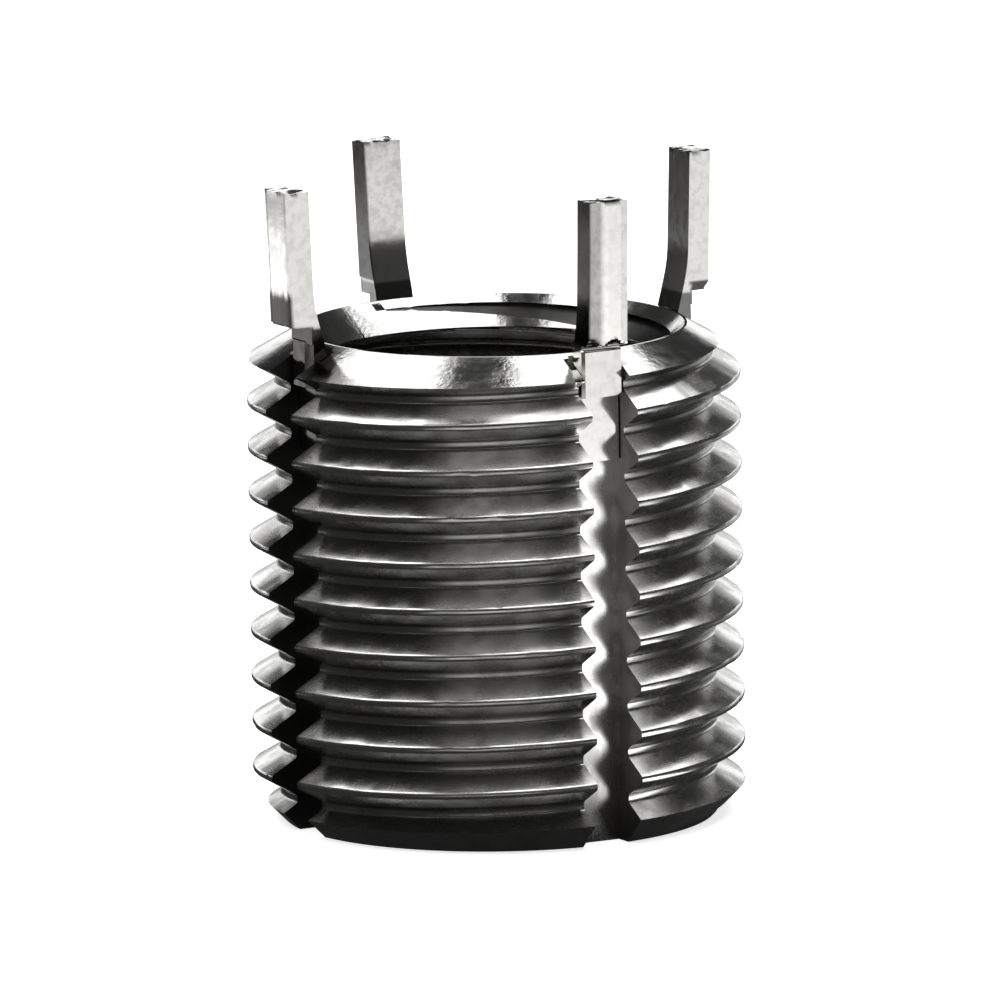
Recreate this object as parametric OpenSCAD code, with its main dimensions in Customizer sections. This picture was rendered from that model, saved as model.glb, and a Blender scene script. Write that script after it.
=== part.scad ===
// Key-locking threaded insert.
// A short steel sleeve is threaded outside, to screw into a tapped hole, and inside, to take a bolt.
// Four keys sit in slots along the sleeve and stand proud of its top face. Once the sleeve is home
// they are driven down the slots, through the threads of the hole, and lock the sleeve against turning.
// The sleeve stands on its bottom face, with its axis on Z.

/* [Sleeve] */
// Length of the sleeve from its bottom face to its top face
sleeve_h = 16; // [12:0.5:24]
// Width of the flat ring around the mouth
ring_w = 0.08; // [0.04:0.02:0.3]
// Slope of the top bevel down from the ring, in degrees
top_bevel_angle = 30; // [20:1:45]
// Width and height of the 45 degree bevel around the bottom end
foot_bevel = 1; // [0.5:0.1:1.4]
// How far the bottom mouth opens beyond the tips of the inner thread
foot_flare = 0.75; // [0.3:0.05:0.9]

/* [Outer thread] */
// Major diameter of the outer thread
outer_d = 16; // [15.5:0.1:22]
// Pitch of the outer thread
outer_pitch = 1.5; // [1:0.25:1.75]

/* [Inner thread] */
// Major diameter of the inner thread
inner_d = 12; // [8:0.1:12.4]
// Pitch of the inner thread
inner_pitch = 1.25; // [1:0.25:1.5]

/* [Slots] */
// Width of a slot
slot_w = 1.66; // [1.5:0.02:2.2]
// Depth of a slot below the bottom of the outer thread
slot_depth = 0.74; // [0.5:0.02:0.9]
// How far the flat ring stays inside the slot floors
ring_lip = 0.06; // [0.04:0.01:0.2]

/* [Stake marks] */
// Length of the dent punched beside each slot, down the top bevel
stake_l = 0.6; // [0.4:0.05:0.7]
// Width of the dent where it opens on the bevel
stake_w = 0.5; // [0.3:0.05:0.7]
// Depth of the dent below the bevel
stake_depth = 0.22; // [0.1:0.02:0.3]

/* [Keys] */
// Height of a key's top above the sleeve's top face
key_stand = 5.1; // [3:0.1:6.5]
// Thickness of a blade, from its inner face to its outer face
blade_t = 0.82; // [0.7:0.02:0.9]
// Bevel along the long edges of a blade
blade_edge = 0.1; // [0.05:0.01:0.15]
// Outward lean of a blade, in degrees
blade_lean = 2.5; // [0:0.1:3]
// How far a blade's foot stays inside the tips of the outer thread
blade_inset = 0.3; // [0.26:0.02:0.5]
// Height of the step under a blade above the sleeve's top face
step_h = 0.55; // [0.3:0.05:0.8]
// Height above the top face at which the neck starts to slope out to the blade
slope_low = 0.2; // [0.1:0.05:0.4]
// Height above the top face at which that slope meets the blade
slope_high = 1.35; // [1:0.05:2]
// Depth below the top face at which the neck ends and the tail starts
neck_drop = 1.36; // [1:0.02:2]
// Length of a tail
tail_h = 2.15; // [1:0.05:3]
// Thickness of a tail
tail_t = 0.38; // [0.3:0.02:0.45]

/* [Fits] */
// Gap between a blade or its neck and each side of the slot
blade_gap = 0.15; // [0.08:0.01:0.3]
// Gap between a tail and each side of the slot
tail_gap = 0.04; // [0.02:0.01:0.07]
// Gap between a key and the floor of its slot
floor_gap = 0.03; // [0.02:0.01:0.1]
// How far a neck stays inside the thread tips of the hole that the sleeve screws into
neck_gap = 0.04; // [0.02:0.01:0.1]

/* [Hidden] */
NODES = ["threaded_sleeve", "locking_key_1", "locking_key_2", "locking_key_3", "locking_key_4"];
$fn = 96;
key_count = len(NODES) - 1;

// The metric thread: 60 degrees between flanks, with its depth as a share of the pitch
flank_angle = 30;
screw_depth_share = 0.61343;
nut_depth_share = 0.54127;
tip_share = 1 / 8;

outer_r = outer_d / 2;
outer_root_r = outer_r - screw_depth_share * outer_pitch;
inner_r = inner_d / 2;
inner_tip_r = inner_r - nut_depth_share * inner_pitch;
// Tips of the threads in the hole that the sleeve screws into
hole_tip_r = outer_r - nut_depth_share * outer_pitch;

slot_floor_r = outer_root_r - slot_depth;
ring_r = slot_floor_r - ring_lip;
mouth_r = ring_r - ring_w;
top_bevel_h = (outer_r - ring_r) * tan(top_bevel_angle);
// A cut reaches this far past the faces it opens, so that none of them coincide
past = 1;
// Shapes joined into one piece reach this far into each other
lap = 0.1;

key_w = slot_w - 2 * blade_gap;
key_in_x = slot_floor_r + floor_gap;
neck_out_x = hole_tip_r - neck_gap;
blade_out_x = outer_r - blade_inset;
blade_in_x = blade_out_x - blade_t;
tail_out_x = key_in_x + tail_t;
tail_w = slot_w - 2 * tail_gap;
key_top_z = sleeve_h + key_stand;
step_z = sleeve_h + step_h;
neck_low_z = sleeve_h - neck_drop;
tail_low_z = neck_low_z - tail_h;

// Ridges that cover a length, evenly spaced about its middle, with two to spare
function ridge_count(length, pitch) = 2 * ceil(length / pitch / 2) + 2;
function ridge_z(i, count, pitch) = sleeve_h / 2 + (i - (count - 1) / 2) * pitch;

// Outline of one ridge, from its root below to its root above
function ridge_points(z, root_r, tip_r, pitch) =
    let (tip = tip_share * pitch / 2, root = tip + (tip_r - root_r) * tan(flank_angle))
    [[root_r, z - root], [tip_r, z - tip], [tip_r, z + tip], [root_r, z + root]];

// A round bar with the section of a thread along it. Each ridge is a full ring at the thread's pitch.
module ridged_bar(root_r, tip_r, pitch) {
    count = ridge_count(sleeve_h, pitch);
    ridges = [
        for (i = [0 : count - 1], p = ridge_points(ridge_z(i, count, pitch), root_r, tip_r, pitch)) p
    ];
    low_z = ridge_z(-0.5, count, pitch);
    high_z = ridge_z(count - 0.5, count, pitch);
    rotate_extrude()
        polygon(concat([[0, low_z], [root_r, low_z]], ridges, [[root_r, high_z], [0, high_z]]));
}

// The outside of the sleeve without its thread: a bar with a bevel at each end
module sleeve_envelope() {
    rotate_extrude()
        polygon([
            [0, 0],
            [outer_r - foot_bevel, 0],
            [outer_r + past, foot_bevel + past],
            [outer_r + past, sleeve_h - top_bevel_h - past * tan(top_bevel_angle)],
            [ring_r, sleeve_h],
            [0, sleeve_h],
        ]);
}

// What the bore takes out: the tapped hole with a 45 degree mouth at each end
module bore() {
    ridged_bar(inner_tip_r, inner_r, inner_pitch);
    translate([0, 0, sleeve_h - mouth_r])
        cylinder(h = mouth_r + past, r1 = 0, r2 = mouth_r + past);
    foot_mouth_r = inner_tip_r + foot_flare;
    translate([0, 0, -past])
        cylinder(h = foot_mouth_r + past, r1 = foot_mouth_r + past, r2 = 0);
}

module slot() {
    translate([slot_floor_r, -slot_w / 2, -past])
        cube([outer_r, slot_w, sleeve_h + 2 * past]);
}

// A V-shaped dent from a punch, down the top bevel on one side of a slot, which pinches the key's neck.
// The V is drawn twice as tall as its depth, so that it stands clear above the bevel.
module stake_mark(side) {
    mid_r = (slot_floor_r + outer_root_r) / 2;
    bevel_z = sleeve_h - (mid_r - ring_r) * tan(top_bevel_angle);
    translate([mid_r, side * slot_w / 2, bevel_z])
        rotate([0, top_bevel_angle, 0])
            rotate([90, 0, 90])
                linear_extrude(height = stake_l, center = true)
                    polygon([[0, -stake_depth], [stake_w, stake_depth], [-stake_w, stake_depth]]);
}

module threaded_sleeve() {
    color("silver")
        difference() {
            intersection() {
                ridged_bar(outer_root_r, outer_r, outer_pitch);
                sleeve_envelope();
            }
            bore();
            for (i = [0 : key_count - 1])
                rotate([0, 0, i * 360 / key_count]) {
                    slot();
                    for (side = [-1, 1])
                        stake_mark(side);
                }
        }
}

// An outline in the key's side view, radius against height, given the key's width
module side_plate(points, width) {
    rotate([90, 0, 0])
        linear_extrude(height = width, center = true)
            polygon(points);
}

// The blade stands proud of the sleeve: a bar with bevelled long edges that leans outward
module blade() {
    half_w = key_w / 2;
    bar_h = (key_top_z - step_z) / cos(blade_lean) + 2 * past;
    intersection() {
        translate([blade_in_x, 0, step_z])
            rotate([0, blade_lean, 0])
                translate([0, 0, -past])
                    linear_extrude(height = bar_h)
                        polygon([
                            [blade_edge, -half_w],
                            [blade_t - blade_edge, -half_w],
                            [blade_t, blade_edge - half_w],
                            [blade_t, half_w - blade_edge],
                            [blade_t - blade_edge, half_w],
                            [blade_edge, half_w],
                            [0, half_w - blade_edge],
                            [0, blade_edge - half_w],
                        ]);
        translate([0, -key_w, step_z])
            cube([outer_r + past, 2 * key_w, key_top_z - step_z]);
    }
}

// The neck lies against the slot floor, and its inner face slopes out to the blade
module neck() {
    slope_x = blade_in_x + (slope_high - step_h) * tan(blade_lean);
    side_plate([
        [key_in_x, neck_low_z],
        [neck_out_x, neck_low_z],
        [neck_out_x, step_z + lap],
        [slope_x + blade_t / 2, sleeve_h + slope_high],
        [slope_x, sleeve_h + slope_high],
        [key_in_x, sleeve_h + slope_low],
    ], key_w);
}

// The tail fills the width of the slot and guides the key
module tail() {
    side_plate([
        [key_in_x, tail_low_z],
        [tail_out_x, tail_low_z],
        [tail_out_x, neck_low_z + lap],
        [key_in_x, neck_low_z + lap],
    ], tail_w);
}

// One key, in the slot with this number. The first lies on +X.
module locking_key(number) {
    color("gainsboro")
        rotate([0, 0, (number - 1) * 360 / key_count]) {
            blade();
            neck();
            tail();
        }
}

threaded_sleeve();
locking_key(1);  // locking_key_1
locking_key(2);  // locking_key_2
locking_key(3);  // locking_key_3
locking_key(4);  // locking_key_4
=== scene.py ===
"""A key-locking threaded insert: a turned steel sleeve with four drawn keys standing in its slots.

The classes hold their sizes in millimetres. A mesh is worked in millimetres too, and becomes metres in the
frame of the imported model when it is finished.
"""

import logging
import math
from dataclasses import dataclass
from enum import Enum

import bmesh
import bpy
from mathutils import Matrix, Vector, noise


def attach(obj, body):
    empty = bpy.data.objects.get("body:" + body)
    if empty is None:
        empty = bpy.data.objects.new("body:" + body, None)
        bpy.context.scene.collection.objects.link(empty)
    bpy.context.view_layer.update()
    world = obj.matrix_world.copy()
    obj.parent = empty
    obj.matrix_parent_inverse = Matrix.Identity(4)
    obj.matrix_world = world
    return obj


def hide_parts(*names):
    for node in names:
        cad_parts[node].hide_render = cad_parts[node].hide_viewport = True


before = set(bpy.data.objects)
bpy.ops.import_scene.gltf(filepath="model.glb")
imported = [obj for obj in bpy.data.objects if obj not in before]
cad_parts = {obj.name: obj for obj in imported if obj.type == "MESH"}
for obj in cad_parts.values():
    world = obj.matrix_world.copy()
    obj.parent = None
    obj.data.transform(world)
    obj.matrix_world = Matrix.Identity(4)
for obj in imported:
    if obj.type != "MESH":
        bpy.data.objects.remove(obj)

MM = 0.001
NOISE_SEED = 1
UP = Vector((0, 0, 1))
# Points closer together than this become one, in millimetres
WELD = 1e-4
# A point lies on a face if it is closer to it than this, in millimetres
NEAR = 0.01
log = logging.getLogger("insert")

Body = bpy.types.Object
Mesh = bpy.types.Mesh
Shape = bmesh.types.BMesh
Socket = bpy.types.NodeSocket
Value = Socket | float | tuple[float, ...]
Colour = tuple[float, float, float, float]
Outline = list[tuple[float, float]]
Creases = tuple[tuple[float, float], ...]


class Keep(Enum):
    """What a boolean keeps of two shapes."""

    COMMON = "INTERSECT"
    REST = "DIFFERENCE"
    BOTH = "UNION"


class Side(Enum):
    """A side of a slot, looking in from outside."""

    LEFT = -1
    RIGHT = 1


# ---------------- shapes


def make_object(name: str, shape: Shape) -> Body:
    """Puts a finished bmesh in an object of its own and frees it.

    Args:
        name: the object's name
        shape: the shape, in millimetres

    Returns:
        the object, linked to the scene
    """
    bmesh.ops.recalc_face_normals(shape, faces=shape.faces[:])
    mesh = bpy.data.meshes.new(name)
    shape.to_mesh(mesh)
    shape.free()
    made = bpy.data.objects.new(name, mesh)
    bpy.context.scene.collection.objects.link(made)
    return made


def combine(body: Body, tool: Body, keep: Keep) -> None:
    """Changes a body's mesh by a tool's shape, and removes the tool.

    Args:
        body: the object to change
        tool: the object whose shape cuts it or joins it
        keep: what stays
    """
    step = body.modifiers.new("combine", "BOOLEAN")
    step.operation = keep.value
    step.solver = "MANIFOLD"
    step.object = tool
    apply_modifiers(body)
    used = tool.data
    bpy.data.objects.remove(tool)
    bpy.data.meshes.remove(used)


def apply_modifiers(body: Body) -> None:
    """Makes a body's modifiers part of its mesh.

    Args:
        body: the object, which gets a new mesh in place of its old one
    """
    bpy.context.view_layer.update()
    solved = body.evaluated_get(bpy.context.evaluated_depsgraph_get())
    mesh = bpy.data.meshes.new_from_object(solved)
    old = body.data
    body.modifiers.clear()
    body.data = mesh
    bpy.data.meshes.remove(old)


def finish_mesh(body: Body, sharp_angle: float) -> None:
    """Brings a body from millimetres to metres and sets its shading.

    Args:
        body: the object
        sharp_angle: edges that turn further than this, in degrees, shade as corners
    """
    body.data.transform(Matrix.Scale(MM, 4))
    body.data.materials.clear()
    body.data.shade_smooth()
    body.data.set_sharp_from_angle(angle=math.radians(sharp_angle))


def draw_outline(shape: Shape, outline: Outline) -> list[bmesh.types.BMVert | bmesh.types.BMEdge]:
    """Draws an outline on the plane of X and Z.

    Args:
        shape: the bmesh to draw in
        outline: its (radius, height) points, in order

    Returns:
        the points and the edges between them
    """
    points = [shape.verts.new((r, 0, z)) for r, z in outline]
    return points + [shape.edges.new(pair) for pair in zip(points, points[1:])]


def lathe(outline: Outline, steps: int) -> Shape:
    """Turns an outline round Z into a closed solid.

    Args:
        outline: (radius, height) points, which start and end on the axis
        steps: facets round the axis

    Returns:
        the solid
    """
    shape = bmesh.new()
    geom = draw_outline(shape, outline)
    bmesh.ops.spin(shape, geom=geom, cent=(0, 0, 0), axis=UP, angle=math.tau, steps=steps, use_merge=True)
    bmesh.ops.remove_doubles(shape, verts=shape.verts[:], dist=WELD)
    return shape


def ease(start: float, end: float, at: float) -> float:
    """A smooth rise from 0 at one value to 1 at another, which may lie below it."""
    share = min(1, max(0, (at - start) / (end - start)))
    return share**3 * (share * (share * 6 - 15) + 10)


def steps_between(stops: tuple[float, ...], gaps: tuple[float, ...]) -> list[float]:
    """Evenly divided values from stop to stop.

    Args:
        stops: the values that must be there
        gaps: the widest gap after each stop but the last

    Returns:
        all values in order, each once
    """
    rounding_error = 1e-6
    made = [stops[0]]
    for low, high, gap in zip(stops, stops[1:], gaps):
        count = math.ceil((high - low) / gap - rounding_error)
        made += [low + (high - low) * (i + 1) / count for i in range(count)]
    return made


@dataclass(frozen=True)
class Thread:
    """A right-hand screw thread.

    Attributes:
        root_r: radius at the bottom of the thread
        tip_r: radius over the tips
        pitch: rise in one turn
        tip_flat: width of the flat tip
        start_z: height of a ridge's middle on +X
        tip_round: width of the rounding on each edge of a tip
        root_round: width of the rounding on each side of the bottom
        steps: facets in one turn
        knock_depth: how deep the knocks in the tips go
    """

    root_r: float
    tip_r: float
    pitch: float
    tip_flat: float
    start_z: float
    tip_round: float
    root_round: float
    steps: int = 192
    knock_depth: float = 0.08

    def ridge_outline(self, middle: float) -> Outline:
        """The outline of one ridge, from halfway along the root below it.

        Args:
            middle: height of the ridge's middle

        Returns:
            its (radius, height) points, going up
        """
        flank_angle = 30
        tip = self.tip_flat / 2
        root = tip + (self.tip_r - self.root_r) * math.tan(math.radians(flank_angle))
        return [
            (self.root_r, middle - self.pitch / 2),
            (self.root_r, middle - root),
            (self.tip_r, middle - tip),
            (self.tip_r, middle + tip),
            (self.root_r, middle + root),
        ]

    def wind(self, low_z: float, high_z: float) -> Shape:
        """Makes the threaded bar as a closed solid that reaches past both heights.

        Args:
            low_z: a height that the bar starts under
            high_z: a height that the bar ends over

        Returns:
            the bar
        """
        first = self.start_z + self.pitch * math.floor((low_z - self.start_z) / self.pitch - 1)
        turns = math.ceil((high_z - first) / self.pitch) + 1
        outline = [p for i in range(turns) for p in self.ridge_outline(first + i * self.pitch)]
        top = first + (turns - 0.5) * self.pitch
        outline = [(0, outline[0][1])] + outline + [(self.root_r, top), (0, top)]

        bar = bmesh.new()
        geom = draw_outline(bar, outline)
        rise = (0, 0, self.pitch / self.steps)
        bmesh.ops.spin(bar, geom=geom, cent=(0, 0, 0), axis=UP, dvec=rise, angle=math.tau, steps=self.steps)
        bmesh.ops.remove_doubles(bar, verts=bar.verts[:], dist=WELD)
        self.round_corners(bar, self.tip_r, self.tip_round, segments=2)
        self.round_corners(bar, self.root_r, self.root_round, segments=3)
        bmesh.ops.holes_fill(bar, edges=[e for e in bar.edges if e.is_boundary], sides=0)
        self.knock(bar)
        return bar

    def knock(self, bar: Shape) -> None:
        """Dents the tips a little here and there, as handling does.

        Args:
            bar: the threaded bar
        """
        # How closely the small and the large knocks lie, and how rare each kind is
        kinds = ((2.6, 0.25), (0.9, 0.3))
        for vert in bar.verts:
            radius = vert.co.xy.length
            if radius > self.tip_r - 2 * self.tip_round:
                depth = sum(max(0, noise.noise(vert.co * close) - rare) for close, rare in kinds)
                vert.co.xy *= (radius - depth * self.knock_depth) / radius

    def round_corners(self, bar: Shape, radius: float, width: float, segments: int) -> None:
        """Rounds the wound corners that lie at one radius.

        Args:
            bar: the threaded bar
            radius: the corners' radius
            width: how far the rounding reaches from the corner
            segments: facets across the rounding
        """
        near, least_turn = 1e-3, 0.3
        corners = []
        for edge in bar.edges:
            a, b = (v.co for v in edge.verts)
            wound = abs(a.xy.length - radius) < near and abs(b.xy.length - radius) < near
            across = (a.xy - b.xy).length > near
            if wound and across and len(edge.link_faces) == 2 and edge.calc_face_angle() > least_turn:
                corners.append(edge)
        bmesh.ops.bevel(
            bar, geom=corners, offset=width, offset_type="OFFSET", segments=segments, profile=0.5,
            affect="EDGES", material=-1, clamp_overlap=True,
        )


# ---------------- the finishes

# The colour that painted shade darkens the steel towards, and the dirty patches on the keys' tops too
DIRT_AND_SHADE: Colour = (0.03, 0.028, 0.026, 1)


class Graph:
    """Adds nodes to a node tree and joins them up."""

    def __init__(self, tree: bpy.types.NodeTree) -> None:
        """Takes the tree to work on."""
        self.tree = tree

    def node(self, kind: str, inputs: dict[str | int, Value], **settings: str | bool) -> bpy.types.Node:
        """Adds one node.

        Args:
            kind: the node's type, without its usual prefix
            inputs: what each input takes: a value, or the output that feeds it
            settings: the node's own settings

        Returns:
            the node
        """
        made = self.tree.nodes.new("ShaderNode" + kind)
        for name, value in settings.items():
            setattr(made, name, value)
        for name, value in inputs.items():
            if isinstance(value, Socket):
                self.tree.links.new(value, made.inputs[name])
            else:
                made.inputs[name].default_value = value
        return made

    def math(self, operation: str, a: Value, b: Value = 0.0) -> Socket:
        """The result of one sum."""
        return self.node("Math", {0: a, 1: b}, operation=operation).outputs[0]

    def length(self, vector: Value) -> Socket:
        """The length of a vector."""
        return self.node("VectorMath", {0: vector}, operation="LENGTH").outputs["Value"]

    def ramp(self, value: Value, low: float, high: float, start: float, end: float) -> Socket:
        """A value that goes smoothly from start to end as another goes from low to high."""
        inputs = {"Value": value, "From Min": low, "From Max": high, "To Min": start, "To Max": end}
        return self.node("MapRange", inputs, interpolation_type="SMOOTHSTEP").outputs["Result"]

    def blend(self, share: Value, first: Value, second: Value) -> Socket:
        """A colour between two colours, which the Mix node takes at its inputs 6 and 7."""
        made = self.node("Mix", {"Factor": share, 6: first, 7: second}, data_type="RGBA")
        return made.outputs[2]

    def place(self) -> Socket:
        """The point on the object, in metres."""
        return self.node("TexCoord", {}).outputs["Object"]

    def noise(self, place: Value, size: float, detail: float = 2.0) -> Socket:
        """Cloudy noise from 0 to 1, given how wide its clouds are."""
        inputs = {"Vector": place, "Scale": 1 / size, "Detail": detail}
        return self.node("TexNoise", inputs).outputs["Fac"]


class Effect(Enum):
    """The effects that the finishes share, each a shader node group."""

    MOTTLING = "steel_mottling"
    SPECKS = "dark_specks"

    def tree(self) -> bpy.types.NodeTree:
        """The effect's node group, made when it is first asked for.

        Returns:
            the group, which takes a size in metres and puts out a mask from 0 to 1
        """
        if self.value in bpy.data.node_groups:
            return bpy.data.node_groups[self.value]
        tree = bpy.data.node_groups.new(self.value, "ShaderNodeTree")
        tree.interface.new_socket("Size", in_out="INPUT", socket_type="NodeSocketFloat")
        tree.interface.new_socket("Mask", in_out="OUTPUT", socket_type="NodeSocketFloat")
        graph = Graph(tree)
        size = tree.nodes.new("NodeGroupInput").outputs["Size"]
        scale = graph.math("DIVIDE", 1.0, size)
        place = graph.place()
        if self is Effect.MOTTLING:
            cloud = graph.node("TexNoise", {"Vector": place, "Scale": scale, "Detail": 4.0})
            mask = graph.ramp(cloud.outputs["Fac"], 0.3, 0.7, 0.0, 1.0)
        else:
            cells = graph.node("TexVoronoi", {"Vector": place, "Scale": scale})
            patches = graph.noise(place, 1.6 * MM)
            spot = graph.ramp(cells.outputs["Distance"], 0.08, 0.2, 1.0, 0.0)
            mask = graph.math("MULTIPLY", spot, graph.ramp(patches, 0.5, 0.62, 0.0, 1.0))
        out = tree.nodes.new("NodeGroupOutput")
        tree.links.new(mask, out.inputs["Mask"])
        return tree

    def use(self, graph: Graph, size: float) -> Socket:
        """Puts the effect in a material.

        Args:
            graph: the material's nodes
            size: how wide its clouds or cells are, in metres

        Returns:
            its mask
        """
        made = graph.tree.nodes.new("ShaderNodeGroup")
        made.node_tree = self.tree()
        made.inputs["Size"].default_value = size
        return made.outputs["Mask"]


class Marks(Enum):
    """Whether tool marks run round the axis, as a lathe leaves them, or up, as drawing and milling do."""

    ROUND = "round"
    UP = "up"


@dataclass(frozen=True)
class Steel:
    """Bare steel with the marks of how it was made. Lengths are in metres.

    Attributes:
        name: the finish's name
        colour: the clean metal
        stain_and_dark_reflection: the metal where it is stained
        smooth: roughness where it is smoothest
        rough: roughness where it is dullest
        marks: the way that the tool marks run
        mark: width of the marks
        mark_depth: how deep they look
        cloud: width of the stained patches
        dimple_depth: how deep its small dimples look
    """

    name: str
    colour: Colour
    stain_and_dark_reflection: Colour
    smooth: float
    rough: float
    marks: Marks
    mark: float = 0.05 * MM
    mark_depth: float = 0.0006 * MM
    cloud: float = 0.9 * MM
    dimple_depth: float = 0.0006 * MM

    def streaks(self, graph: Graph) -> Socket:
        """Fine streaks along the way that the tool ran.

        Args:
            graph: the material's nodes

        Returns:
            the streaks, from 0 to 1
        """
        squeeze, lathe_turn = 0.02, 0.4 * MM
        parts = graph.node("SeparateXYZ", {0: graph.place()})
        x, y, z = (parts.outputs[name] for name in "XYZ")
        if self.marks is Marks.UP:
            along = graph.node("CombineXYZ", {0: x, 1: y, 2: graph.math("MULTIPLY", z, squeeze)})
        else:
            level = graph.node("VectorMath", {0: (1, 1, 0), 1: graph.place()}, operation="MULTIPLY")
            radius = graph.length(level.outputs[0])
            turn = graph.math("MULTIPLY", graph.math("ARCTAN2", y, x), lathe_turn)
            along = graph.node("CombineXYZ", {0: turn, 1: radius, 2: z})
        return graph.noise(along.outputs[0], self.mark, 3.0)

    def build(self) -> bpy.types.Material:
        """Makes the material.

        Returns:
            the material, which is darker where a piece's "dirt_and_shade" attribute is high: where shade is
            painted, and where the keys' tops are dirty
        """
        speck, dimple = 0.35 * MM, 0.16 * MM
        most_stain, most_speck, darkest_dirt_and_shade = 0.5, 0.6, 0.92
        made = bpy.data.materials.new(self.name)
        made.use_nodes = True
        graph = Graph(made.node_tree)
        shader = made.node_tree.nodes["Principled BSDF"]
        mottling = Effect.MOTTLING.use(graph, self.cloud)
        specks = Effect.SPECKS.use(graph, speck)
        dirt_and_shade = graph.node("Attribute", {}, attribute_name="dirt_and_shade").outputs["Fac"]
        streaks = self.streaks(graph)
        stained = graph.ramp(mottling, 0.2, 1.0, 0.0, most_stain)
        clean = graph.blend(stained, self.colour, self.stain_and_dark_reflection)
        worn = graph.blend(graph.math("MULTIPLY", specks, most_speck), clean, self.stain_and_dark_reflection)
        # Painted shade darkens the colour here, and so do the dirty patches on the keys' tops
        colour = graph.blend(graph.math("MULTIPLY", dirt_and_shade, darkest_dirt_and_shade), worn, DIRT_AND_SHADE)
        dull = graph.math("ADD", graph.math("MULTIPLY", mottling, 0.5), graph.math("MULTIPLY", streaks, 0.5))
        rough = graph.ramp(dull, 0, 1, self.smooth, self.rough)
        dimples = graph.math("MULTIPLY", graph.noise(graph.place(), dimple, 3.0), self.dimple_depth)
        height = graph.math("ADD", graph.math("MULTIPLY", streaks, self.mark_depth), dimples)
        bump = graph.node("Bump", {"Height": height, "Distance": 1.0, "Strength": 1.0})
        links = made.node_tree.links
        links.new(colour, shader.inputs["Base Color"])
        links.new(rough, shader.inputs["Roughness"])
        links.new(bump.outputs["Normal"], shader.inputs["Normal"])
        shader.inputs["Metallic"].default_value = 1.0
        return made


THREADED_STEEL = Steel(
    name="threaded_steel", colour=(0.6, 0.595, 0.58, 1), stain_and_dark_reflection=(0.38, 0.37, 0.355, 1), smooth=0.15,
    rough=0.32, marks=Marks.ROUND,
)
FACED_STEEL = Steel(
    name="faced_steel", colour=(0.44, 0.436, 0.426, 1), stain_and_dark_reflection=(0.3, 0.295, 0.286, 1), smooth=0.08,
    rough=0.2, marks=Marks.ROUND, mark=0.07 * MM, mark_depth=0.0005 * MM, cloud=0.5 * MM,
    dimple_depth=0.004 * MM,
)
MILLED_STEEL = Steel(
    name="milled_steel", colour=(0.95, 0.94, 0.91, 1), stain_and_dark_reflection=(0.7, 0.69, 0.67, 1), smooth=0.2, rough=0.34,
    marks=Marks.UP, mark=0.06 * MM, mark_depth=0.001 * MM,
)
SAWN_STEEL = Steel(
    name="sawn_steel", colour=(0.42, 0.412, 0.4, 1), stain_and_dark_reflection=(0.26, 0.255, 0.247, 1), smooth=0.3, rough=0.5,
    marks=Marks.UP, mark_depth=0.001 * MM,
)
# Painted shade: near-black steel for the groove at the top of the bore
GROOVE_SHADE_STEEL = Steel(
    name="groove_painted_shade_steel", colour=(0.04, 0.039, 0.038, 1), stain_and_dark_reflection=(0.025, 0.024, 0.023, 1), smooth=0.26,
    rough=0.4, marks=Marks.ROUND,
)
DRAWN_STEEL = Steel(
    name="drawn_steel", colour=(0.74, 0.73, 0.7, 1), stain_and_dark_reflection=(0.6, 0.59, 0.57, 1), smooth=0.11, rough=0.17,
    marks=Marks.UP, mark_depth=0.0004 * MM, cloud=0.28 * MM,
)


# ---------------- the sleeve


class Surface(Enum):
    """The surfaces of the sleeve, each with its finish, in the order of its material slots."""

    THREADS = THREADED_STEEL
    FACED_TOP = FACED_STEEL
    SLOT_FLOOR = MILLED_STEEL
    SLOT_WALL = SAWN_STEEL
    # The groove in the mouth gets painted shade
    MOUTH_GROOVE = GROOVE_SHADE_STEEL


@dataclass(frozen=True)
class SleevePaintedShade:
    """How dark the shade painted on the sleeve is in each place, from 0 to 1."""

    bore: float = 0.7
    thread: float = 0.35
    foot: float = 0.65
    left_slot: float = 0.8
    left_bevel: float = 0.8


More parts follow.
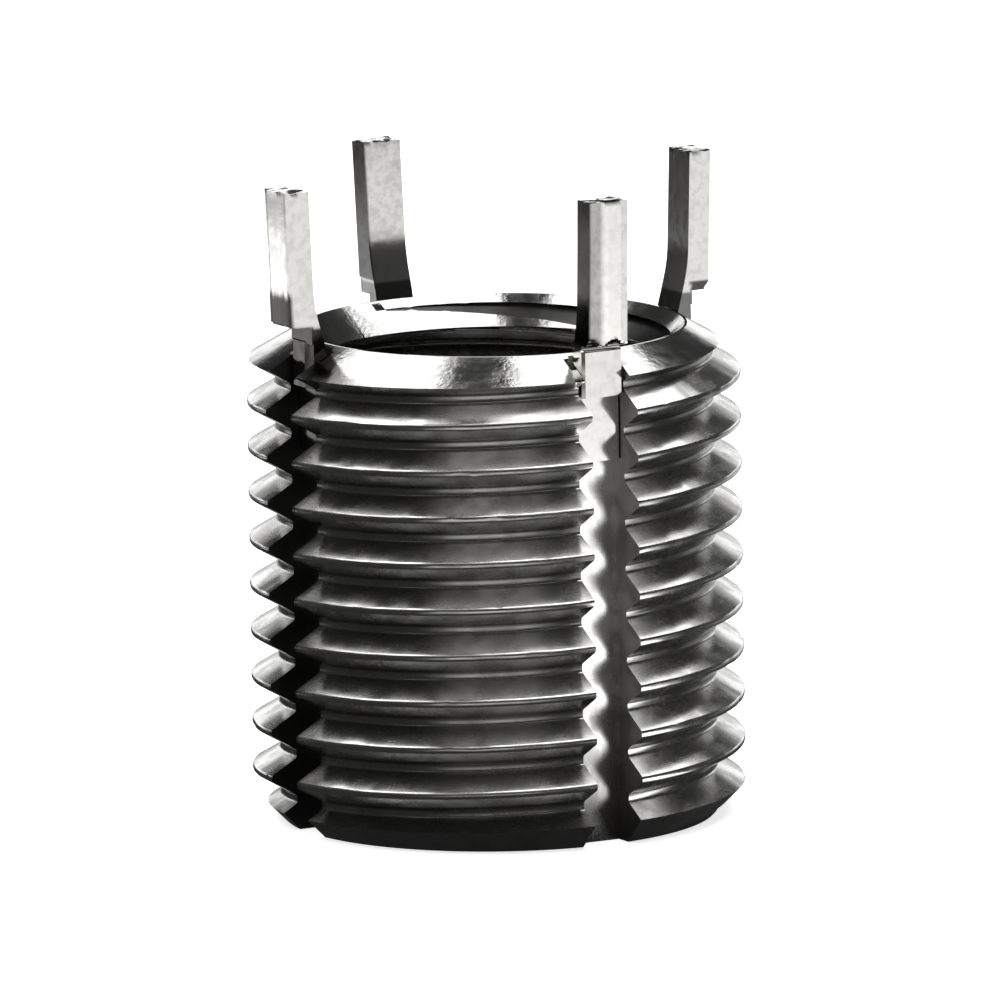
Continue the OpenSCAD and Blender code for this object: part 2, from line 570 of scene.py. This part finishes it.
@dataclass(frozen=True)
class Sleeve:
    """The turned sleeve, threaded outside and inside, with a slot for each key.

    Attributes:
        height: length from the foot to the top face
        slots: how many slots there are, evenly spaced from +X
        ring_r: outer radius of the flat ring around the mouth
        mouth_r: inner radius of that ring
        top_bevel: slope of the top bevel, in degrees
        foot_bevel: width and height of the 45 degree bevel round the foot
        foot_mouth_r: radius of the bore's mouth in the foot
        slot_w: width of a slot
        slot_floor_r: distance of a slot's floor from the axis
        dent_l: length of a stake dent, down the top bevel
        dent_w: width of the dent where it opens
        dent_depth: how deep it is
        past: how far a cutter reaches past the faces that it opens
        groove_drop: how far below the top face the groove in the mouth reaches, whose near-black finish is
            painted shade
        outer: the outside thread
        inner: the inside thread, as the tap that cuts it
        painted_shade: where shade is painted on it
    """

    height: float = 16.0
    slots: int = 4
    ring_r: float = 6.28
    mouth_r: float = 6.2
    top_bevel: float = 30.0
    foot_bevel: float = 1.0
    foot_mouth_r: float = 6.073
    slot_w: float = 1.66
    slot_floor_r: float = 6.34
    dent_l: float = 0.6
    dent_w: float = 0.5
    dent_depth: float = 0.22
    past: float = 1.0
    groove_drop: float = 1.0
    outer: Thread = Thread(
        root_r=7.08, tip_r=7.995, pitch=1.5, tip_flat=0.1875, start_z=1.03, tip_round=0.055, root_round=0.1
    )
    inner: Thread = Thread(
        root_r=5.26, tip_r=5.95, pitch=1.25, tip_flat=0.156, start_z=0.47, tip_round=0.02, root_round=0.06,
        steps=160,
    )
    painted_shade: SleevePaintedShade = SleevePaintedShade()

    def bevel_z(self, radius: float) -> float:
        """Height of the top bevel at a radius."""
        return self.height - (radius - self.ring_r) * math.tan(math.radians(self.top_bevel))

    def slot_turns(self) -> list[Matrix]:
        """The turn round the axis that brings a shape from +X to each slot."""
        return [Matrix.Rotation(number * math.tau / self.slots, 4, "Z") for number in range(self.slots)]

    def envelope(self) -> Shape:
        """The turned outside with a bevel at each end."""
        reach = self.outer.tip_r + self.past
        outline = [
            (0, 0),
            (self.outer.tip_r - self.foot_bevel, 0),
            (reach, self.foot_bevel + self.past),
            (reach, self.bevel_z(reach)),
            (self.ring_r, self.height),
            (0, self.height),
        ]
        return lathe(outline, self.outer.steps)

    def mouths(self) -> Shape:
        """The 45 degree cones that open the bore at both ends, joined by a thin core."""
        core_r = 0.5
        outline = [
            (0, -self.past),
            (self.foot_mouth_r + self.past, -self.past),
            (core_r, self.foot_mouth_r - core_r),
            (core_r, self.height - self.mouth_r + core_r),
            (self.mouth_r + self.past, self.height + self.past),
            (0, self.height + self.past),
        ]
        return lathe(outline, self.outer.steps)

    def slot_cutters(self) -> Shape:
        """One long box for each slot."""
        shape = bmesh.new()
        depth = self.outer.tip_r + self.past - self.slot_floor_r
        place = Matrix.Translation((self.slot_floor_r + depth / 2, 0, self.height / 2))
        size = Matrix.Diagonal((depth, self.slot_w, self.height + 2 * self.past, 1))
        for turn in self.slot_turns():
            bmesh.ops.create_cube(shape, size=1, matrix=turn @ place @ size)
        return shape

    def dents(self) -> Shape:
        """The V-shaped stake dents on both sides of each slot, each the lower half of a four-sided bar."""
        shape = bmesh.new()
        middle_r = (self.slot_floor_r + self.outer.root_r) / 2
        tilt = Matrix.Rotation(math.radians(self.top_bevel), 4, "Y")
        size = Matrix.Diagonal((1, self.dent_w / 2, self.dent_depth, 1))
        for turn in self.slot_turns():
            for side in Side:
                place = Matrix.Translation((middle_r, side.value * self.slot_w / 2, self.bevel_z(middle_r)))
                lying = Matrix.Rotation(math.pi / 2, 4, "Y")
                made = bmesh.ops.create_cone(
                    shape, cap_ends=True, segments=4, radius1=1, radius2=1, depth=self.dent_l, matrix=lying
                )
                bmesh.ops.transform(shape, matrix=turn @ place @ tilt @ size, verts=made["verts"])
        return shape

    def is_faced(self, spot: Vector) -> bool:
        """Whether a point lies on the top bevel, the ring or the mouth, which were turned last.

        Args:
            spot: the point, in millimetres

        Returns:
            whether it does
        """
        radius = spot.xy.length
        below_mouth = self.height - spot.z - self.mouth_r + radius
        on_bevel = radius > self.ring_r and abs(spot.z - self.bevel_z(radius)) < NEAR
        on_ring = self.mouth_r < radius < self.ring_r and abs(spot.z - self.height) < NEAR
        on_mouth = radius < self.mouth_r and abs(below_mouth) < 2 * NEAR
        return on_bevel or on_ring or on_mouth

    def surface_of(self, mesh: Mesh, face: bpy.types.MeshPolygon) -> Surface:
        """Which of its surfaces a face belongs to.

        Args:
            mesh: the finished mesh
            face: one of its faces

        Returns:
            the surface
        """
        centre = face.center / MM
        square = [i for i in (0, 1) if abs(face.normal[i]) > 0.999]
        away = abs(centre[square[0]]) if square else 0
        if square and abs(away - self.slot_floor_r) < NEAR:
            return Surface.SLOT_FLOOR
        if square and abs(away - self.slot_w / 2) < NEAR:
            return Surface.SLOT_WALL
        if all(self.is_faced(mesh.vertices[i].co / MM) for i in face.vertices):
            return Surface.FACED_TOP
        in_bore = centre.xy.length < self.inner.tip_r + NEAR
        if in_bore and centre.z > self.height - self.groove_drop:
            return Surface.MOUTH_GROOVE
        return Surface.THREADS

    def dress(self, mesh: Mesh) -> None:
        """Gives each surface its finish.

        Args:
            mesh: the finished mesh
        """
        surfaces = list(Surface)
        for surface in surfaces:
            mesh.materials.append(surface.value.build())
        for face in mesh.polygons:
            face.material_index = surfaces.index(self.surface_of(mesh, face))

    def dirt_and_shade_at(self, spot: Vector) -> float:
        """How dark the shade painted on the sleeve is at a point.

        Args:
            spot: the point, in millimetres

        Returns:
            how dark the painted shade is there, from 0 to 1
        """
        painted_shade, radius, drop = self.painted_shade, spot.xy.length, self.height - spot.z
        # Painted shade down the bore, in the outer thread's roots, round the foot, and in and beside the slot
        # and on the top bevel on -X
        bore = painted_shade.bore * ease(self.inner.tip_r + 2 * NEAR, self.inner.tip_r, radius) * ease(1.1, 1.4, drop)
        root = painted_shade.thread * ease(self.outer.root_r + 0.25, self.outer.root_r, radius)
        root *= ease(self.ring_r, self.slot_floor_r, radius) * ease(0, 0.6, drop)
        foot = painted_shade.foot * ease(0.3, -0.4, spot.z - self.foot_bevel)
        slot = painted_shade.left_slot * ease(0.35, 0, abs(spot.y) - self.slot_w / 2)
        slot *= ease(0.4, 1.2, drop) * (spot.x < -self.ring_r)
        bevel = painted_shade.left_bevel * ease(5.7, 6.4, -spot.x) * ease(0.3, 0.8, spot.y) * ease(1.1, 0.8, drop)
        return max(bore, root, foot, slot, bevel)

    def build(self) -> Body:
        """Makes the sleeve's finished mesh and shows it in place of its CAD node.

        Returns:
            the finished piece
        """
        body = make_object("turned_sleeve", self.outer.wind(0, self.height))
        combine(body, make_object("envelope", self.envelope()), Keep.COMMON)
        combine(body, make_object("tap", self.inner.wind(0, self.height)), Keep.REST)
        combine(body, make_object("mouths", self.mouths()), Keep.REST)
        combine(body, make_object("slots", self.slot_cutters()), Keep.REST)
        combine(body, make_object("dents", self.dents()), Keep.REST)
        finish_mesh(body, sharp_angle=30)
        self.dress(body.data)
        paint_dirt_and_shade(body.data, [self.dirt_and_shade_at(vert.co / MM) for vert in body.data.vertices])
        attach(body, "sleeve")
        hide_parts("threaded_sleeve")
        return body


def paint_dirt_and_shade(mesh: Mesh, shades: list[float]) -> None:
    """Marks how dark a mesh is painted at each point, for its finish to read: painted shade, and the dirty
    patches on the keys' tops.

    Args:
        mesh: the mesh
        shades: how dark it is painted at each of its points, from 0 to 1
    """
    mesh.attributes.new("dirt_and_shade", "FLOAT", "POINT").data.foreach_set("value", shades)


# ---------------- the keys


@dataclass(frozen=True)
class Ripple:
    """Cloudy unevenness over a face, which differs from key to key.

    Attributes:
        close: how closely its clouds lie, along the first way and along the second
        layer: how far apart its noise lies from key to key
        depth: the most that it can reach
    """

    close: tuple[float, float]
    layer: float
    depth: float = 1.0

    def at(self, first: float, second: float, number: int) -> float:
        """How far it reaches at a place on the key with this number."""
        spot = Vector((first * self.close[0], second * self.close[1], self.layer * number))
        return self.depth * noise.noise(spot)


# The worn foot's upper edge, the sheared top, the face in the slot, the dirty patches on the top, the upper
# edge of a painted dark reflection
FOOT_EDGE = Ripple((9, 1), 0, 0.07)
SHEARED_TOP = Ripple((3.1, 2.3), 5)
STEM_FACE = Ripple((3, 1.5), 3, 0.012)
TOP_DIRT = Ripple((2.2, 2), 4)
DARK_REFLECTION_EDGE = Ripple((6, 0), 2, 0.2)


@dataclass(frozen=True)
class Key:
    """One drawn key: a blade on a thinner neck, with a tail that guides it in its slot.

    It is made on +X, with X its distance from the axis and Y its width, and turned into its slot last.

    Attributes:
        number: which slot it stands in; the first is on +X
        creases: across the outer face, the (place, depth) of each line where two facets meet
        blade_in: radius of the blade's inner face at the step
        blade_out: radius of its outer face there
        sway: how far it leans sideways at its top
        foot_arch: height of the worn arch at the foot of the outer face
        foot_wear: how deep it is worn
        width: width of the blade
        lean: how far it leans outwards, in degrees
        neck_in: radius of the neck's inner face in the slot
        notch_out: radius of the neck's outer face under the step
        ledge_z: height of the ledge on which the notch stands
        step: height of the step under the blade
        fillet_low: height at which the inner face starts to sweep outwards
        fillet_high: height at which it meets the blade
        top: height of its top
        stem_low: height of the lower end of the stem, the part in the slot
        stem_out: radius of the stem's outer face
        stem_edge: width of the rounding around the stem's top
        stem_creases: across the stem, given as those of the blade are
        tail_low: height of the tail's lower end
        tail_out: radius of the tail's outer face
        tail_width: width of the tail
        lap: how far two of its parts reach into each other
        corner: width of the rounding on its corners
        top_wear: how far the sheared top is worn down
        hair: height of the step's own face
        stem_shade: how dark the shade painted on the part in the slot is; 1 nearly hides the steel
        foot_dark_reflection: how far a painted dark reflection reaches up the outer face from its foot
        dark_side: the side on which a dark reflection is painted, if one is
        scale: how dark that painted reflection is
    """

    number: int
    creases: Creases
    blade_in: float = 6.88
    blade_out: float = 7.70
    sway: float = 0.0
    foot_arch: float = 0.3
    foot_wear: float = 0.16
    width: float = 1.36
    lean: float = 2.5
    neck_in: float = 6.37
    notch_out: float = 7.04
    ledge_z: float = 16.2
    step: float = 16.55
    fillet_low: float = 14.5
    fillet_high: float = 18.1
    top: float = 21.1
    stem_low: float = 14.64
    stem_out: float = 7.05
    stem_edge: float = 0.08
    stem_creases: Creases = ((-0.68, 0.06), (-0.58, 0.0), (0.18, 0.0), (0.68, 0.06))
    tail_low: float = 12.49
    tail_out: float = 6.75
    tail_width: float = 1.58
    lap: float = 0.1
    corner: float = 0.05
    top_wear: float = 0.05
    hair: float = 0.002
    stem_shade: float = 0.0
    foot_dark_reflection: float = 0.0
    dark_side: Side | None = None
    scale: float = 1.0

    @staticmethod
    def depth_at(creases: Creases, across: float) -> float:
        """How far a creased face lies below its highest line.

        Args:
            creases: its creases
            across: the place across it

        Returns:
            the depth there
        """
        for (low, low_depth), (high, high_depth) in zip(creases, creases[1:]):
            if low <= across <= high:
                return low_depth + (high_depth - low_depth) * (across - low) / (high - low)
        return creases[-1][1]

    def foot_top(self, across: float) -> float:
        """How far up the outer face the worn arch at its foot reaches, at a place across it."""
        middle, wave, swing, least = 0.2, 7.5, 0.45, 0.03
        arch = self.foot_arch * (1 - swing + swing * math.cos((across - middle) * wave))
        return max(least, arch + FOOT_EDGE.at(across, self.number, self.number))

    def outer_face(self, across: float, z: float) -> float:
        """The outer face: the notch at the foot, and the blade with its facets and wear.

        Args:
            across: the place across it
            z: the height

        Returns:
            its radius there
        """
        if z < self.step - self.hair / 2:
            return self.notch_out
        wear = self.foot_wear * (1 - ease(0, self.foot_top(across), z - self.step))
        lean = (z - self.step) * math.tan(math.radians(self.lean))
        return self.blade_out - self.depth_at(self.creases, across) - wear + lean

    def inner_face(self, z: float) -> float:
        """Radius of the inner face, which sweeps out from the slot to the blade."""
        blade = self.blade_in + (z - self.step) * math.tan(math.radians(self.lean))
        return self.neck_in + (blade - self.neck_in) * ease(self.fillet_low, self.fillet_high, z)

    def place(self, share: float, across: float, z: float) -> Vector:
        """Where a point of the shaft lies, with its waves and wear.

        Args:
            share: how far it is through the key, from 0 on the inner face to 1 on the outer
            across: the place across it
            z: the height

        Returns:
            the point
        """
        swell, fine, apart = (0.7, 1.1, 0.8), 4.1, 7
        inner = self.inner_face(z)
        point = Vector((inner + (self.outer_face(across, z) - inner) * share, across, z))
        spot = Vector((point.x * swell[0], point.y * swell[1], point.z * swell[2] + apart * self.number))
        wave = noise.noise_vector(spot) * 0.003 + noise.noise_vector(spot * fine) * 0.0009
        wave.z = 0
        if z > self.top - self.hair:
            edge = max(abs(across) / self.width * 2, abs(share - 0.5) * 2)
            ragged = max(0, 0.5 + SHEARED_TOP.at(across, share, self.number))
            wave.z = -self.top_wear * ragged * (0.3 + edge)
        wave.y += self.shift(z)
        return point + wave

    def shift(self, z: float) -> float:
        """How far the key has swayed at a height."""
        return self.sway * (z - self.ledge_z) / (self.top - self.ledge_z)

    @staticmethod
    def divided_box(through: list[float], across: list[float], heights: list[float]) -> Shape:
        """Makes a box that planes divide.

        Args:
            through: its two faces on X and the places of the planes between them
            across: the same on Y
            heights: the same on Z

        Returns:
            the box
        """
        spans = (through, across, heights)
        shape = bmesh.new()
        size = Matrix.Diagonal([cuts[-1] - cuts[0] for cuts in spans] + [1])
        middle = Matrix.Translation([(cuts[-1] + cuts[0]) / 2 for cuts in spans])
        bmesh.ops.create_cube(shape, size=1, matrix=middle @ size)
        for axis, cuts in enumerate(spans):
            normal = Vector((0, 0, 0))
            normal[axis] = 1
            for cut in cuts[1:-1]:
                geom = shape.verts[:] + shape.edges[:] + shape.faces[:]
                bmesh.ops.bisect_plane(shape, geom=geom, dist=WELD, plane_co=normal * cut, plane_no=normal)
        return shape

    @staticmethod
    def places_across(creases: Creases, gap: float) -> list[float]:
        """Places across a creased face, one on each crease and none further apart than the gap."""
        return steps_between(tuple(place for place, depth in creases), (gap,) * (len(creases) - 1))

    def shaft(self) -> Shape:
        """The notched neck and the blade.

        Returns:
            the closed shape, with its rows closest together at the worn foot
        """
        foot_rows, foot_gap, low_gap, high_gap = 0.45, 0.045, 0.1, 0.2
        across = self.places_across(self.creases, low_gap)
        heights = steps_between((self.ledge_z - self.lap, self.step - self.hair), (low_gap,))
        blade = (self.step, self.step + foot_rows, self.fillet_high, self.top)
        heights += steps_between(blade, (foot_gap, low_gap, high_gap))
        shape = self.divided_box(steps_between((0, 1), (0.15,)), across, heights)
        for vert in shape.verts:
            vert.co = self.place(*vert.co)
        return shape

    def stem(self) -> Shape:
        """The part in the slot, up to the ledge, with creases down its outer face.

        Returns:
            the closed shape, with its outer edge rounded at the top
        """
        across_gap, row_gap, edge_rows = 0.15, 0.12, 4
        across = self.places_across(self.stem_creases, across_gap)
        edge_z = self.ledge_z - self.stem_edge
        heights = steps_between((self.stem_low, edge_z, self.ledge_z), (row_gap, self.stem_edge / edge_rows))
        shape = self.divided_box([0, 1], across, heights)
        for vert in shape.verts:
            share, place, z = vert.co
            over = min(1, max(0, (z - edge_z) / self.stem_edge))
            rounding = self.stem_edge * (1 - math.sqrt(1 - over * over))
            outer = self.stem_out - self.depth_at(self.stem_creases, place) - rounding
            rough = STEM_FACE.at(place, z, self.number)
            inner = self.inner_face(z)
            vert.co = Vector((inner + (outer + rough - inner) * share, place, z))
        return shape

    def tail(self) -> Shape:
        """The flat tail, which reaches a little way into the stem's end."""
        half, heights = self.tail_width / 2, [self.tail_low, self.stem_low + self.lap]
        return self.divided_box([self.neck_in, self.tail_out], [-half, half], heights)

    def dirt_and_shade_at(self, spot: Vector) -> float:
        """How dark the key is painted at a point: painted shade on its worn foot and its stem, dirty patches
        on its cut top, and painted dark reflections up its outer face and on a side.

        Args:
            spot: the point, in millimetres, before the key is turned into its slot

        Returns:
            how dark it is painted there, from 0; at 1 and above it nearly hides the steel
        """
        x, y, z = spot
        rise = z - self.step
        # Painted shade on the notch under the step and on the worn arch at the blade's foot
        foot = ease(self.notch_out - 0.1, self.notch_out, x) * ease(-0.02, 0.03, z - self.ledge_z)
        foot *= ease(0.05, -0.05, rise - self.foot_top(y))
        top = ease(-0.12, -0.06, z - self.top) * ease(0.0, 0.2, TOP_DIRT.at(y, x, self.number))
        # Painted shade on the stem, which stands in the slot
        stem = self.stem_shade * ease(0, -0.1, rise)
        # A painted dark reflection up the outer face from its foot
        stain_and_dark_reflection = 0.0
        if self.foot_dark_reflection:
            ragged = DARK_REFLECTION_EDGE.at(y, 0, self.number)
            stain_and_dark_reflection = 1.08 * ease(1.05, 0.75, rise / self.foot_dark_reflection + ragged)
            stain_and_dark_reflection *= ease(-0.1, -0.07, x - self.blade_out)
        # A painted dark reflection on one side of the blade
        side = 0.0
        if self.dark_side:
            beyond = self.dark_side.value * (y - self.shift(z)) - self.width / 2
            side = self.scale * ease(-0.1, 0.1, rise) * ease(-0.04, -0.02, beyond)
        return max(foot, top, stem, stain_and_dark_reflection, side)

    def build(self) -> Body:
        """Makes the key's finished mesh and shows it in place of its CAD node.

        Returns:
            the finished piece, without its material
        """
        body = make_object(f"drawn_key_{self.number}", self.shaft())
        combine(body, make_object("stem", self.stem()), Keep.BOTH)
        combine(body, make_object("tail", self.tail()), Keep.BOTH)
        rounding = body.modifiers.new("corners", "BEVEL")
        rounding.limit_method = "ANGLE"
        rounding.angle_limit = math.radians(40)
        rounding.width = self.corner
        rounding.segments = 2
        apply_modifiers(body)
        paint_dirt_and_shade(body.data, [self.dirt_and_shade_at(vert.co) for vert in body.data.vertices])
        body.data.transform(Matrix.Rotation((self.number - 1) * math.pi / 2, 4, "Z"))
        finish_mesh(body, sharp_angle=6)
        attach(body, f"key_{self.number}")
        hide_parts(f"locking_key_{self.number}")
        return body


KEYS = (
    Key(number=1, creases=((-0.68, 0.03), (0.2, 0.0), (0.68, 0.05)), sway=0.1, stem_shade=0.85),
    Key(
        number=2, creases=((-0.68, 0.04), (-0.1, 0.0), (0.68, 0.05)), sway=0.1, stem_shade=0.85,
        notch_out=7.55, dark_side=Side.RIGHT,
    ),
    Key(
        number=3, creases=((-0.68, 0.06), (-0.5, 0.006), (0.1, 0.0), (0.5, 0.008), (0.68, 0.03)),
        blade_in=6.92, blade_out=7.82, lean=1.5, step=16.66, sway=-0.1, foot_arch=0.1, foot_dark_reflection=1.2,
        stem_shade=1.05,
    ),
    Key(
        number=4, creases=((-0.7, 0.09), (-0.24, 0.014), (-0.05, 0.0), (0.44, 0.002), (0.7, 0.045)),
        blade_in=6.76, blade_out=7.6, width=1.4, sway=-0.03, step=16.34, stem_out=7.14,
        stem_creases=((-0.73, 0.06), (-0.62, 0.0), (0.18, 0.0), (0.73, 0.06)), dark_side=Side.LEFT,
        scale=1.08,
    ),
)


# ---------------- the studio


@dataclass(frozen=True)
class Panel:
    """A soft light, placed as seen from the camera.

    Attributes:
        name: the panel's name
        centre: its place to the right of the object, away from the camera, and up
        size: its width and height
        aim: the point that it faces, given like its place
        turn: how far it is turned about its own middle, in degrees
        glow: how bright it looks
    """

    name: str
    centre: tuple[float, float, float]
    size: tuple[float, float]
    aim: tuple[float, float, float]
    turn: float
    glow: float


@dataclass(frozen=True)
class Pool:
    """A pool of light on the floor, as the metal reflects it.

    Attributes:
        towards: its direction from the object: 0 is towards the camera and 90 to the right, in degrees
        spread: half its width, in degrees
        near: the distances over which it starts
        far: the distances over which it ends
        glow: how bright it is
        soft: how far its sides fade, in degrees
    """

    towards: float
    spread: float
    near: tuple[float, float]
    far: tuple[float, float]
    glow: float
    soft: float


@dataclass(frozen=True)
class Studio:
    """A pale floor, soft panels and the camera.

    Attributes:
        azimuth: the camera's direction, in degrees; 0 looks from -Y and -90 from -X
        elevation: how steeply it looks down, in degrees
        distance: its distance from the point that it aims at
        lens: its focal length, for a sensor 36 mm wide
        roll: how far it is turned about its line of sight, in degrees
        aim_z: height of the point that it aims at
        aim_right: how far that point lies to the right of the axis
        floor_size: length of the floor's sides
        floor_glow: how much light the floor gives off to the camera
        dim_floor: how bright the metal sees the floor outside the pools
        room: how bright the metal sees the rest of the room, and how bright the camera does
        panels: the lights
        pools: the pools of light on the floor
    """

    azimuth: float = -29.2
    elevation: float = 10.0
    distance: float = 700.0
    lens: float = 778.5
    roll: float = -0.85
    aim_z: float = 10.24
    aim_right: float = 0.146
    floor_size: float = 6000.0
    floor_glow: float = 0.75
    dim_floor: float = 0.04
    room: tuple[float, float] = (0.05, 1.0)
    panels: tuple[Panel, ...] = (
        Panel("softbox_right", (155, 44, 400), size=(300, 626), aim=(155, 44, 0), turn=-13, glow=3.0),
        Panel("softbox_left", (-243, 67, 400), size=(260, 576), aim=(-243, 67, 0), turn=-25, glow=3.0),
        Panel("softbox_front", (-60, -270, 330), size=(620, 220), aim=(0, 0, 10), turn=0, glow=0.45),
        Panel("backdrop", (0, 600, 80), size=(1200, 160), aim=(0, 0, 80), turn=0, glow=1.5),
    )
    pools: tuple[Pool, ...] = (
        Pool(towards=58, spread=10, near=(8, 12), far=(56, 68), glow=3.7, soft=6),
        Pool(towards=58, spread=4, near=(10, 14), far=(28, 40), glow=2.2, soft=4),
        Pool(towards=60, spread=22, near=(56, 66), far=(88, 100), glow=1.08, soft=8),
        Pool(towards=50, spread=3, near=(60, 66), far=(84, 92), glow=0.3, soft=3),
        Pool(towards=60, spread=20, near=(88, 100), far=(270, 440), glow=1.0, soft=9),
        Pool(towards=-2, spread=22, near=(12, 34), far=(80, 100), glow=0.75, soft=12),
        Pool(towards=-119, spread=16, near=(60, 72), far=(110, 115), glow=1.75, soft=6),
        Pool(towards=150, spread=40, near=(14, 40), far=(80, 110), glow=0.3, soft=12),
        Pool(towards=168, spread=34, near=(30, 60), far=(160, 260), glow=0.5, soft=12),
    )

    def to_world(self, place: tuple[float, float, float]) -> Vector:
        """Turns a place given as seen from the camera into the frame's own.

        Args:
            place: how far to the right, away from the camera and up

        Returns:
            the point of the frame
        """
        turn = math.radians(self.azimuth)
        right = Vector((math.cos(turn), math.sin(turn), 0))
        away = Vector((-math.sin(turn), math.cos(turn), 0))
        return right * place[0] + away * place[1] + UP * place[2]

    def back(self) -> Vector:
        """The unit vector from the object towards the camera."""
        rise = math.radians(self.elevation)
        return self.to_world((0, -math.cos(rise), math.sin(rise)))

    def camera(self) -> None:
        """Sets up the camera."""
        lens = bpy.data.cameras.new("camera")
        lens.lens = self.lens
        lens.clip_start, lens.clip_end = 0.01, 100
        made = bpy.data.objects.new("camera", lens)
        bpy.context.scene.collection.objects.link(made)
        aim = self.to_world((self.aim_right, 0, self.aim_z))
        turn = (-self.back()).to_track_quat("-Z", "Y").to_matrix().to_4x4()
        turn = turn @ Matrix.Rotation(math.radians(self.roll), 4, "Z")
        made.matrix_world = Matrix.Translation((aim + self.back() * self.distance) * MM) @ turn
        bpy.context.scene.camera = made

    def light(self, panel: Panel) -> None:
        """Makes one panel as an area light that the camera doesn't see.

        Args:
            panel: the panel
        """
        straight_down = 0.9
        centre = self.to_world(panel.centre)
        out = (centre - self.to_world(panel.aim)).normalized()
        level = self.to_world((0, 1, 0)) if abs(out.z) > straight_down else UP
        side = level.cross(out).normalized()
        axes = Matrix((side, out.cross(side), out)).transposed().to_4x4()
        width, height = (length * MM for length in panel.size)
        lamp = bpy.data.lights.new(panel.name, "AREA")
        lamp.shape = "RECTANGLE"
        lamp.size = width
        lamp.size_y = height
        # A rectangle that looks this bright from every side gives off this much power
        lamp.energy = panel.glow * math.pi * width * height
        made = bpy.data.objects.new(panel.name, lamp)
        bpy.context.scene.collection.objects.link(made)
        turn = Matrix.Rotation(math.radians(panel.turn), 4, "Z")
        made.matrix_world = Matrix.Translation(centre * MM) @ axes @ turn
        made.visible_camera = False

    def floor(self) -> None:
        """Makes the floor."""
        shape = bmesh.new()
        size = Matrix.Diagonal((self.floor_size * MM, self.floor_size * MM, 1, 1))
        bmesh.ops.create_grid(shape, x_segments=1, y_segments=1, size=0.5, matrix=size)
        made = make_object("floor", shape)
        made.data.materials.append(self.floor_paper())

    def floor_paper(self) -> bpy.types.Material:
        """White paper: evenly lit to the camera, and with pools of light in what the metal reflects.

        Returns:
            the floor's material
        """
        grey = 0.86
        made = bpy.data.materials.new("floor")
        made.use_nodes = True
        graph = Graph(made.node_tree)
        paper = made.node_tree.nodes["Principled BSDF"]
        paper.inputs["Base Color"].default_value = (grey, grey, grey, 1)
        paper.inputs["Roughness"].default_value = 1.0
        paper.inputs["Specular IOR Level"].default_value = 0.0
        paper.inputs["Emission Strength"].default_value = self.floor_glow
        paper.inputs["Emission Color"].default_value = (1, 1, 1, 1)
        place = graph.place()
        parts = graph.node("SeparateXYZ", {0: place})
        angle = graph.math("ARCTAN2", parts.outputs["Y"], parts.outputs["X"])
        reach = graph.length(place)
        glow: Value = self.dim_floor
        for pool in self.pools:
            glow = graph.math("ADD", glow, self.pool_glow(graph, angle, reach, pool))
        seen = graph.node("LightPath", {}).outputs["Is Camera Ray"]
        metal = graph.node("Emission", {"Color": (1, 1, 1, 1), "Strength": glow}).outputs[0]
        mix = graph.node("MixShader", {0: seen, 1: metal, 2: paper.outputs[0]})
        output = made.node_tree.nodes["Material Output"]
        made.node_tree.links.new(mix.outputs[0], output.inputs["Surface"])
        return made

    def pool_glow(self, graph: Graph, angle: Value, reach: Value, pool: Pool) -> Socket:
        """What one pool adds to the floor's glow.

        Args:
            graph: the floor's nodes
            angle: the direction of a point on the floor, in radians
            reach: its distance from the axis, in metres
            pool: the pool

        Returns:
            the glow that it adds at that point
        """
        middle = math.radians(self.azimuth - 90 + pool.towards)
        turned = graph.math("SUBTRACT", angle, middle)
        wrapped = graph.node("Math", {0: turned, 1: math.pi, 2: -math.pi}, operation="WRAP")
        off = graph.math("ABSOLUTE", wrapped.outputs[0])
        inside, outside = (math.radians(pool.spread + side * pool.soft) for side in (-1, 1))
        across = graph.ramp(off, inside, outside, pool.glow, 0.0)
        start = graph.ramp(reach, pool.near[0] * MM, pool.near[1] * MM, 0.0, 1.0)
        end = graph.ramp(reach, pool.far[0] * MM, pool.far[1] * MM, 1.0, 0.0)
        return graph.math("MULTIPLY", across, graph.math("MULTIPLY", start, end))

    def world(self) -> None:
        """Fills the rest of the room: pale to the camera, and dim in what the metal reflects."""
        made = bpy.data.worlds.new("room")
        bpy.context.scene.world = made
        made.use_nodes = True
        made.node_tree.nodes.clear()
        graph = Graph(made.node_tree)
        seen = graph.node("LightPath", {}).outputs["Is Camera Ray"]
        greys = [graph.node("Background", {"Color": (grey, grey, grey, 1)}) for grey in self.room]
        mix = graph.node("MixShader", {0: seen, 1: greys[0].outputs[0], 2: greys[1].outputs[0]})
        graph.node("OutputWorld", {"Surface": mix.outputs[0]})

    def build(self) -> None:
        """Sets up everything round the object."""
        self.camera()
        self.floor()
        self.world()
        for panel in self.panels:
            self.light(panel)
        bpy.context.scene.view_settings.view_transform = "Standard"


def report(piece: Body) -> None:
    """Logs a piece's size and how much mesh it has.

    Args:
        piece: the finished piece
    """
    piece.data.calc_loop_triangles()
    size = ", ".join(f"{side / MM:.2f}" for side in piece.dimensions)
    log.info("%s: %s mm, %d triangles", piece.name, size, len(piece.data.loop_triangles))


def main() -> None:
    """Builds the object and its studio."""
    logging.basicConfig(level=logging.INFO, format="%(name)s: %(message)s")
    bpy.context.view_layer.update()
    # Without a seed, noise_vector() starts from the clock, and each run would be a little different
    noise.seed_set(NOISE_SEED)
    report(Sleeve().build())
    finish = DRAWN_STEEL.build()
    for key in KEYS:
        piece = key.build()
        piece.data.materials.append(finish)
        report(piece)
    Studio().build()


if __name__ == "__main__":
    main()
